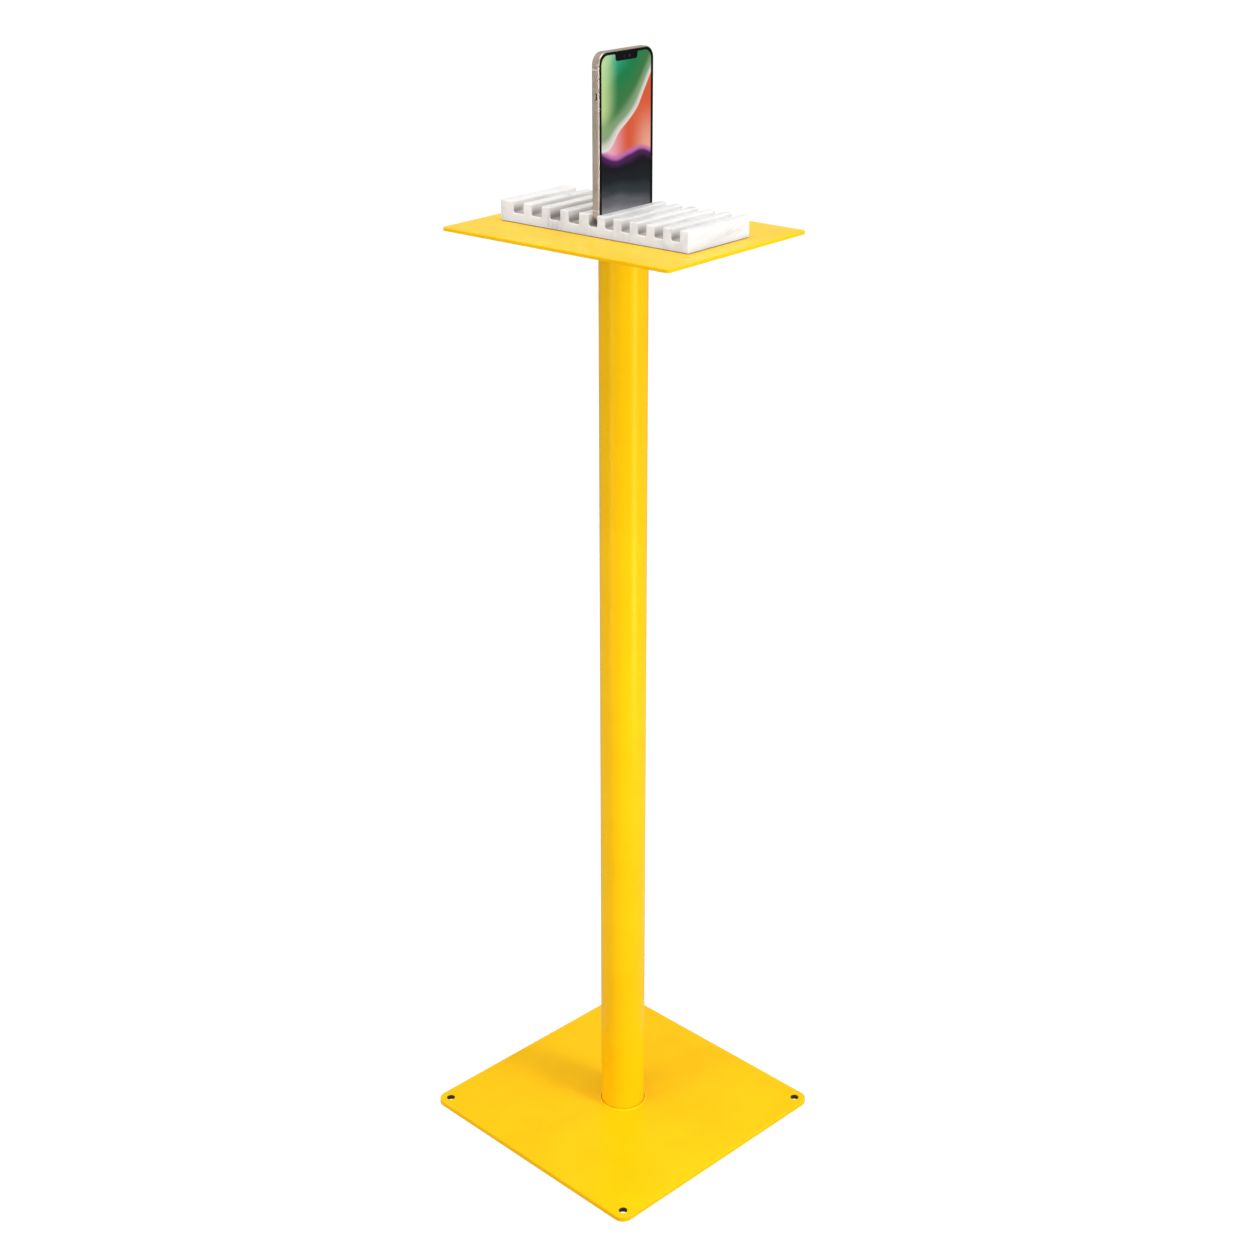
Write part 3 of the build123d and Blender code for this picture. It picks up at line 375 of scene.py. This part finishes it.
def plastic(name, colour, roughness, grain_scale=1400.0, grain=0.3, spread=0.25, level=0.5):
    """Moulded plastic, rubber or lacquer: spark-eroded grain and a slightly uneven tone."""
    s = Shader(name)
    s.shader.inputs["Specular IOR Level"].default_value = level
    fine = s.noise(grain_scale, 2.0)
    tone = s.ramp(s.noise(45.0, 4.0), 0.3, 0.7)
    light = tuple(min(1.0, c * (1.0 + spread) + 0.002) for c in colour)
    s.set("Base Color", s.mix(tone, colour, light))
    s.set("Roughness", s.ramp(fine, 0.3, 0.7, roughness - 0.05, roughness + 0.05))
    s.set("Normal", s.bump(fine, 0.00003, grain))
    return s.material


def circuit_board():
    """Green solder mask with lighter tracks and pads under it."""
    s = Shader("circuit_board", Roughness=0.35)
    tracks = s.add("ShaderNodeTexBrick", offset=0.5)
    s.put(tracks.inputs["Vector"], s.place)
    sizes = {"Scale": 130.0, "Mortar Size": 0.035, "Brick Width": 0.9, "Row Height": 0.32}
    for socket, value in sizes.items():
        tracks.inputs[socket].default_value = value
    mask = s.mix(s.noise(60.0, 3.0), (0.010, 0.085, 0.040), (0.016, 0.110, 0.052))
    s.set("Base Color", s.mix(tracks.outputs["Fac"], mask, (0.03, 0.20, 0.09)))
    s.set("Normal", s.bump(tracks.outputs["Fac"], 0.00004, 0.6))
    return s.material


def champagne_metal():
    """Blasted, anodised aluminium of the handset's band."""
    s = Shader("champagne_metal", Metallic=1.0)
    blast = s.noise(2600.0, 2.0, 0.6)
    tone = s.ramp(s.noise(60.0, 3.0), 0.3, 0.7)
    s.set("Base Color", s.mix(tone, (0.50, 0.415, 0.340), (0.55, 0.465, 0.385)))
    s.set("Roughness", s.ramp(blast, 0.3, 0.7, 0.30, 0.38))
    s.set("Normal", s.bump(blast, 0.00001, 0.35))
    return s.material


def cover_glass():
    """Black border under polished, anti-reflective glass, with faint wiping marks."""
    s = Shader("screen_glass")
    s.shader.inputs["Specular IOR Level"].default_value = 0.12
    s.set("Base Color", s.mix(s.noise(35.0, 3.0), (0.002, 0.002, 0.0025), (0.004, 0.004, 0.005)))
    smear = s.noise(30.0, 5.0, 0.6, 0.6, vector=s.stretch((1.0, 1.0, 0.35)))
    s.set("Roughness", s.ramp(smear, 0.45, 0.75, 0.05, 0.13))
    return s.material


SCREEN_GLOW = 0.92
LOWER_FIELD = [    # colours up to the flat boundary
    (0.10, (0.26, 0.26, 0.29)), (0.19, (0.11, 0.11, 0.125)), (0.27, (0.030, 0.040, 0.045)),
    (0.36, (0.010, 0.013, 0.015)), (0.43, (0.008, 0.006, 0.012)), (0.475, (0.07, 0.014, 0.09)),
    (0.50, (0.55, 0.16, 0.45)),
]
UPPER_FIELD = [    # colours up from the steep boundary
    (0.50, (0.86, 0.80, 0.76)), (0.515, (0.72, 0.70, 0.62)), (0.56, (0.24, 0.38, 0.20)),
    (0.64, (0.045, 0.20, 0.06)), (0.76, (0.012, 0.22, 0.07)), (0.88, (0.015, 0.38, 0.20)),
    (0.98, (0.20, 0.62, 0.44)),
]
MIDDLE_LEFT = (0.90, 0.44, 0.56)
MIDDLE_RIGHT = (0.74, 0.11, 0.040)
MIDDLE_PALE = (0.92, 0.50, 0.38)
PICTURE_LEFT = (0.62, 0.80, 0.34)


def colour_field(s, value, stops):
    """A soft run of colours over value."""
    ramp = s.add("ShaderNodeValToRGB")
    ramp.color_ramp.interpolation = "EASE"
    s.put(ramp.inputs["Fac"], value)
    elements = ramp.color_ramp.elements
    while len(elements) < len(stops):
        elements.new(0.5)
    for element, (place, colour) in zip(elements, stops):
        element.position = place
        element.color = (*colour, 1.0)
    return ramp.outputs["Color"]


def screen_picture():
    """A generic lit picture: three soft colour fields that run into each other, with no figure."""
    s = Shader("screen_picture")
    s.shader.inputs["Specular IOR Level"].default_value = 0.12
    low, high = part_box("display_panel")
    across = s.ramp(s.axis("Y"), low.y, high.y, smooth=False)
    up = s.ramp(s.axis("Z"), low.z, high.z, smooth=False)
    drift = s.product(s.maths("SUBTRACT", s.noise(15.0, 1.0, 0.4), 0.5), 0.30)
    level = s.maths("ADD", up, drift)
    steep = s.maths("SUBTRACT", level, s.product(s.maths("POWER", across, 1.7), 0.44))
    flat = s.maths("ADD", level, s.product(across, 0.15))
    lower = colour_field(s, s.maths("ADD", flat, 0.03), LOWER_FIELD)
    upper = colour_field(s, s.maths("ADD", steep, 0.03), UPPER_FIELD)
    middle = s.mix(s.ramp(across, 0.12, 0.55), MIDDLE_LEFT, MIDDLE_RIGHT)
    pale = s.product(s.ramp(across, 0.55, 0.95), s.ramp(up, 0.40, 0.72, 0.75, 0.0))
    picture = s.mix(s.ramp(flat, 0.465, 0.50), lower, s.mix(pale, middle, MIDDLE_PALE))
    picture = s.mix(s.ramp(steep, 0.455, 0.475), picture, upper)
    side = s.product(s.ramp(across, 0.0, 0.36, 0.85, 0.0), s.ramp(steep, 0.50, 0.68))
    s.set("Base Color", (0.003, 0.003, 0.003))
    s.set("Emission Color", s.mix(side, picture, PICTURE_LEFT))
    s.shader.inputs["Emission Strength"].default_value = SCREEN_GLOW
    s.set("Roughness", s.ramp(s.noise(30.0, 5.0, 0.6, 0.6), 0.45, 0.75, 0.05, 0.13))
    return s.material


def lens_glass():
    s = Shader("lens_glass")
    s.shader.inputs["Coat Weight"].default_value = 0.4
    s.shader.inputs["Coat Roughness"].default_value = 0.03
    s.set("Base Color", s.mix(s.noise(400.0, 2.0), (0.004, 0.004, 0.010), (0.010, 0.008, 0.022)))
    s.set("Roughness", s.ramp(s.noise(90.0, 2.0), 0.3, 0.7, 0.05, 0.12))
    return s.material


SLOT_MATERIALS = {
    "yellow_powder_coat": powder_coat("yellow_powder_coat").material,
    "white_marble": marble(),
    "dark_rubber": plastic("dark_rubber", (0.020, 0.020, 0.022), 0.72, 900.0, 0.5),
    "black_plastic": plastic("black_plastic", (0.012, 0.012, 0.014), 0.46),
    "zinc_steel": metal("zinc_steel", (0.62, 0.62, 0.60), 0.30, (1, 1, 0.2)),
    "plug_steel": metal("plug_steel", (0.66, 0.66, 0.67), 0.24, (1, 1, 0.08), 1500.0),
    "brass": metal("brass", (0.72, 0.50, 0.20), 0.28, (1, 1, 0.2)),
    "circuit_board": circuit_board(),
    "grey_ferrite": plastic("grey_ferrite", (0.045, 0.045, 0.048), 0.62, 700.0, 0.6),
    "lead_jacket": plastic("lead_jacket", (0.014, 0.014, 0.015), 0.50, 600.0, 0.35),
    "champagne_metal": champagne_metal(),
    "screen_glass": cover_glass(),
    "display_stack": plastic("display_stack", (0.006, 0.006, 0.008), 0.20),
    "back_glass": plastic("back_glass", (0.62, 0.52, 0.42), 0.16, 2400.0, 0.05, 0.06),
    "lens_glass": lens_glass(),
    "flash_plastic": plastic("flash_plastic", (0.80, 0.74, 0.52), 0.25, 1800.0, 0.5, 0.08),
    "band_polymer": plastic("band_polymer", (0.60, 0.52, 0.43), 0.42, 1600.0, 0.25, 0.06),
    "battery_foil": metal("battery_foil", (0.16, 0.16, 0.17), 0.40, (1, 0.2, 1), 500.0),
}


BASE_TURN_DEG = -5.3         # the base plate about the post


def anchor_places():
    """Each anchor hole in the base plate: its centre's X and Y, and its radius."""
    mount = next(m for m in frame["record"]["mounts"] if m["name"] == "anchor_holes")
    reach = mount["dims"]["pcd_mm"] / 2 * MM
    radius = mount["dims"]["hole_r_mm"] * MM
    places = []
    for quarter in range(4):
        turn = math.radians(BASE_TURN_DEG + 45 + 90 * quarter)
        places.append((reach * math.cos(turn), reach * math.sin(turn), radius))
    return places


NODE_MATERIALS = {
    "tray_plate": powder_coat("tray_powder_coat", gloss=0.12, bounce=0.9).material,
    "base_plate": powder_coat("base_powder_coat", gloss=0.12, anchors=anchor_places()).material,
}


def dress_cad_nodes():
    """Every CAD node takes its slot's material."""
    for row in frame["record"]["subparts"]:
        obj = nodes[row["node"]]
        obj.data.materials.clear()
        material = NODE_MATERIALS.get(row["node"]) or SLOT_MATERIALS[row["material_slot"]]
        obj.data.materials.append(material)


# ---------------------------------------------------------------- new pieces
def new_piece(name, bm, body, material, smooth=True):
    """A mesh object from bm, riding on a body and material."""
    mesh = bpy.data.meshes.new(name)
    bmesh.ops.recalc_face_normals(bm, faces=bm.faces)
    bm.to_mesh(mesh)
    bm.free()
    obj = bpy.data.objects.new(name, mesh)
    bpy.context.scene.collection.objects.link(obj)
    mesh.materials.append(material)
    if smooth:
        mesh.shade_smooth()
    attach(obj, body)
    return obj


WELD_STEPS = 420
WELD_PROFILE = 12
WELD_RIPPLES = 44
WELD_WIDTH = 0.94            # this and the next four are shares of the weld's leg
WELD_CROWN = 0.60
WELD_UNEVEN = (0.06, 0.10)   # of the width, of the crown
WELD_RIPPLE = 0.07
WELD_TOE = 0.10
WELD_SUNK = 0.1 * MM         # into the post
# painted shade for the crease between the weld bead and the post
CREASE_SHADE = (0.20, 0.115, 0.002)


def post_radius():
    low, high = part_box("post_tube")
    return (high.x - low.x) / 2


def weld_coat_with_crease_shade(name):
    """The powder coat over a weld, with painted shade in the crease against the post."""
    s = powder_coat(name)
    away = s.add("ShaderNodeVectorMath", operation="LENGTH")
    s.put(away.inputs[0], s.stretch((1.0, 1.0, 0.0)))
    start = post_radius() + 0.15 * MM
    # painted shade in the crease against the post, broken into patches
    crease = s.ramp(away.outputs["Value"], start, start + 0.75 * MM, 0.9, 0.0)
    patchy = s.ramp(s.noise(60.0, 2.0), 0.3, 0.6, 0.45, 1.0)
    coat = s.shader.inputs["Base Color"].links[0].from_socket
    s.set("Base Color", s.mix(s.product(crease, patchy), coat, CREASE_SHADE))
    return s.material


def weld_bead(name, node, up):
    """A hand-laid weld bead round the post, rippled and a little uneven, for the plain CAD ring.

    Its crown stands off the post, so a narrow crease is left between the two.
    """
    low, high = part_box(node)
    inner = post_radius() - WELD_SUNK
    leg = high.z - low.z
    root_z = low.z if up > 0 else high.z
    bm = bmesh.new()
    rings = []
    for i in range(WELD_STEPS):
        turn = math.tau * i / WELD_STEPS
        place = Vector((math.cos(turn), math.sin(turn), 0.0))
        uneven = noise.noise(place * 2.3 + Vector((7.0, 3.0, up)))
        ripple = abs(math.sin(turn * WELD_RIPPLES / 2 + 0.35 * math.sin(3 * turn)))
        width = leg * (WELD_WIDTH + WELD_UNEVEN[0] * uneven)
        crown = leg * (WELD_CROWN + WELD_UNEVEN[1] * uneven - WELD_RIPPLE * ripple)
        ring = []
        for k in range(WELD_PROFILE):
            share = k / (WELD_PROFILE - 1)
            hump = math.sin(math.pi * share ** 0.85) ** 0.75
            rise = crown * hump + leg * WELD_TOE * (1.0 - share)
            radius = inner + width * share
            ring.append(bm.verts.new((place.x * radius, place.y * radius, root_z + up * rise)))
        radius = inner - WELD_SUNK
        ring.append(bm.verts.new((place.x * radius, place.y * radius, root_z)))
        rings.append(ring)
    for a, b in zip(rings, rings[1:] + rings[:1]):
        for k in range(len(a)):
            j = (k + 1) % len(a)
            bm.faces.new((a[k], b[k], b[j], a[j]))
    obj = new_piece(name, bm, "stand", weld_coat_with_crease_shade(name + "_coat"))
    obj.data.set_sharp_from_angle(angle=math.radians(50))
    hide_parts(node)


def arc(centre, radius, start, end, steps):
    """Points on an arc, in degrees."""
    points = []
    for i in range(steps + 1):
        turn = math.radians(start + (end - start) * i / steps)
        points.append((centre[0] + radius * math.cos(turn), centre[1] + radius * math.sin(turn)))
    return points


BORDER = 3.2 * MM            # cover glass edge to the lit picture, at the sides and foot
TOP_BORDER = 2.4 * MM
NOTCH_WIDTH = 31.5 * MM
NOTCH_DEPTH = 6.3 * MM
NOTCH_CORNER = 3.0 * MM
PICTURE_CORNER = 8.6 * MM
PICTURE_PROUD = 0.04 * MM
PICTURE_THICKNESS = 0.03 * MM


def lit_screen():
    """The picture area: a thin sheet with round corners and a notch in its top edge."""
    low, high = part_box("front_glass")
    y0, y1 = low.y + BORDER, high.y - BORDER
    z0, z1 = low.z + BORDER, high.z - TOP_BORDER
    r, n = PICTURE_CORNER, NOTCH_CORNER
    mid = (y0 + y1) / 2
    a, b = mid - NOTCH_WIDTH / 2, mid + NOTCH_WIDTH / 2
    outline = arc((y0 + r, z0 + r), r, 180, 270, 12) + arc((y1 - r, z0 + r), r, 270, 360, 12)
    outline += arc((y1 - r, z1 - r), r, 0, 90, 12)
    outline += arc((b + n * 0.6, z1 - n * 0.6), n * 0.6, 90, 180, 6)
    outline += arc((b - n, z1 - NOTCH_DEPTH + n), n, 0, -90, 8)
    outline += arc((a + n, z1 - NOTCH_DEPTH + n), n, -90, -180, 8)
    outline += arc((a - n * 0.6, z1 - n * 0.6), n * 0.6, 0, 90, 6)
    outline += arc((y0 + r, z1 - r), r, 90, 180, 12)
    bm = bmesh.new()
    face = bm.faces.new([bm.verts.new((high.x + PICTURE_PROUD, y, z)) for y, z in outline])
    face.normal_update()
    bmesh.ops.triangulate(bm, faces=[face])
    solid = bmesh.ops.extrude_face_region(bm, geom=bm.faces[:])
    moved = [v for v in solid["geom"] if isinstance(v, bmesh.types.BMVert)]
    bmesh.ops.translate(bm, verts=moved, vec=(-PICTURE_THICKNESS, 0, 0))
    new_piece("lit_screen", bm, "handset", screen_picture(), smooth=False)


def disc(bm, centre, radius, x0, x1, steps=32):
    """A short round bar along X."""
    y, z = centre
    turns = [math.tau * i / steps for i in range(steps)]
    circle = [(y + radius * math.cos(turn), z + radius * math.sin(turn)) for turn in turns]
    rings = [[bm.verts.new((x, *point)) for point in circle] for x in (x0, x1)]
    for i in range(steps):
        j = (i + 1) % steps
        bm.faces.new((rings[0][i], rings[0][j], rings[1][j], rings[1][i]))
    bm.faces.new(rings[0][::-1])
    bm.faces.new(rings[1])


SENSORS = ((4.6 * MM, 1.5 * MM), (-3.2 * MM, 1.0 * MM))    # offset from the middle, radius
SENSOR_HEIGHT = 0.45         # of the notch's depth, down from its top
SENSOR_SUNK = 0.01 * MM
SENSOR_PROUD = 0.03 * MM


def front_sensors():
    """The front camera's eye and a smaller sensor, in the notch."""
    low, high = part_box("front_glass")
    mid = (low.y + high.y) / 2
    z = high.z - TOP_BORDER - NOTCH_DEPTH * SENSOR_HEIGHT
    bm = bmesh.new()
    for offset, radius in SENSORS:
        disc(bm, (mid + offset, z), radius, high.x - SENSOR_SUNK, high.x + SENSOR_PROUD)
    glass = SLOT_MATERIALS["lens_glass"]
    new_piece("front_sensors", bm, "handset", glass, smooth=False)


add_camera()
add_studio()
dress_cad_nodes()
weld_bead("foot_weld_bead", "foot_weld", 1)
weld_bead("head_weld_bead", "head_weld", -1)
lit_screen()
front_sensors()
